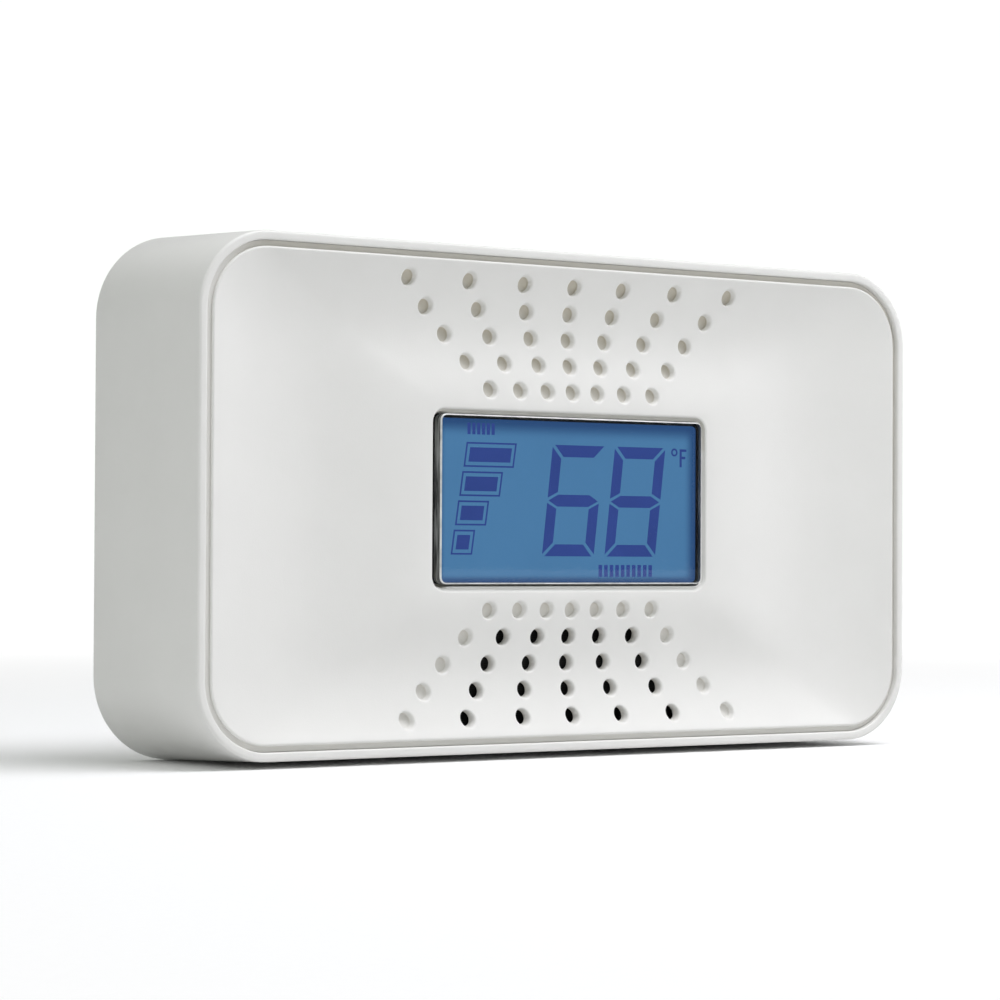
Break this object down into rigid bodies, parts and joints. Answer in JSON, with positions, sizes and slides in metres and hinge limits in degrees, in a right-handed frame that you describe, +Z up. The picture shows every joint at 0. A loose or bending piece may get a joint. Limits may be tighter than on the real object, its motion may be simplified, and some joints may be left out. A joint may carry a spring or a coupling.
{
  "type": "carbon monoxide detector",
  "caption": "Rectangular white carbon monoxide alarm for a table or wall, with a dished panel, fans of small holes, a back-lit display, keyholes in its back and a test button on top.",
  "frame": {"origin": "under the middle of the case, level with its lowest edge, which is the back one", "axes": "+X to the right as seen from the front, +Y from the display to the wall, +Z up"},
  "size_m": [0.13, 0.0272, 0.0743],
  "materials": {
    "case_white": "fine satin moulding",
    "panel_white": "fine satin moulding",
    "button_white": "fine satin moulding",
    "inner_white": "plain moulding",
    "window_clear": "clear moulded plastic window",
    "black_rubber": "matt",
    "screen_cloth": "fine black mesh",
    "display_blue": "back-lit blue display",
    "light_guide": "milky",
    "led_body": "small moulded package",
    "board_green": "glass-fibre board with solder mask",
    "black_plastic": "matt",
    "brass": "rolled disc",
    "steel_can": "drawn can",
    "screw_steel": "zinc plated",
    "nickel": "nickel strip",
    "cell_wrap": "shrink sleeve",
    "copper_wire": "enamelled copper winding",
    "label_film": "blank printed film"
  },
  "bodies": {
    "case": {"housing": "case_white", "front_cover": "panel_white", "rear_cover": "case_white", "display_window": "window_clear", "window_gasket": "black_rubber", "lcd_glass": "display_blue", "backlight_panel": "light_guide", "backlight_led_left": "led_body", "backlight_led_right": "led_body", "lcd_connector_upper": "black_rubber", "lcd_connector_lower": "black_rubber", "lcd_holder": "inner_white", "circuit_board": "board_green", "horn_housing": "black_plastic", "horn_disc": "brass", "horn_ring": "black_plastic", "dust_screen": "screen_cloth", "co_sensor_body": "steel_can", "co_sensor_cap": "black_plastic", "battery_cell": "cell_wrap", "battery_tray": "inner_white", "battery_tab_upper": "nickel", "battery_tab_lower": "nickel", "controller_chip": "black_plastic", "horn_inductor": "copper_wire", "capacitor": "cell_wrap", "thermistor": "led_body", "test_switch_body": "black_plastic", "activation_switch_body": "steel_can", "rating_label": "label_film", "cover_screw_1": "screw_steel", "board_screw_1": "screw_steel", "cover_screw_2": "screw_steel", "board_screw_2": "screw_steel", "cover_screw_3": "screw_steel", "board_screw_3": "screw_steel", "cover_screw_4": "screw_steel", "board_screw_4": "screw_steel"},
    "test_button": {"test_button": "button_white"},
    "test_switch_plunger": {"test_switch_plunger": "inner_white"},
    "activation_slider": {"activation_slider": "black_plastic"},
    "activation_switch_stem": {"activation_switch_stem": "inner_white"}
  },
  "joints": [
    {"name": "test_button_press", "type": "slide", "parent": "case", "child": "test_button", "axis": [0, 0, -1], "range_m": [0, 0.0006], "stiffness_N_per_m": 1650, "springref_m": -0.0003},
    {"name": "test_switch_press", "type": "slide", "parent": "case", "child": "test_switch_plunger", "axis": [0, 0, -1], "range_m": [0, 0.0003]},
    {"name": "activation_slide", "type": "slide", "parent": "case", "child": "activation_slider", "axis": [1, 0, 0], "range_m": [0, 0.003]},
    {"name": "activation_switch_slide", "type": "slide", "parent": "case", "child": "activation_switch_stem", "axis": [1, 0, 0], "range_m": [0, 0.003]}
  ],
  "couplings": [
    {"joint": "test_switch_press", "follows": "test_button_press", "ratio": 0.5},
    {"joint": "activation_switch_slide", "follows": "activation_slide", "ratio": 1}
  ]
}
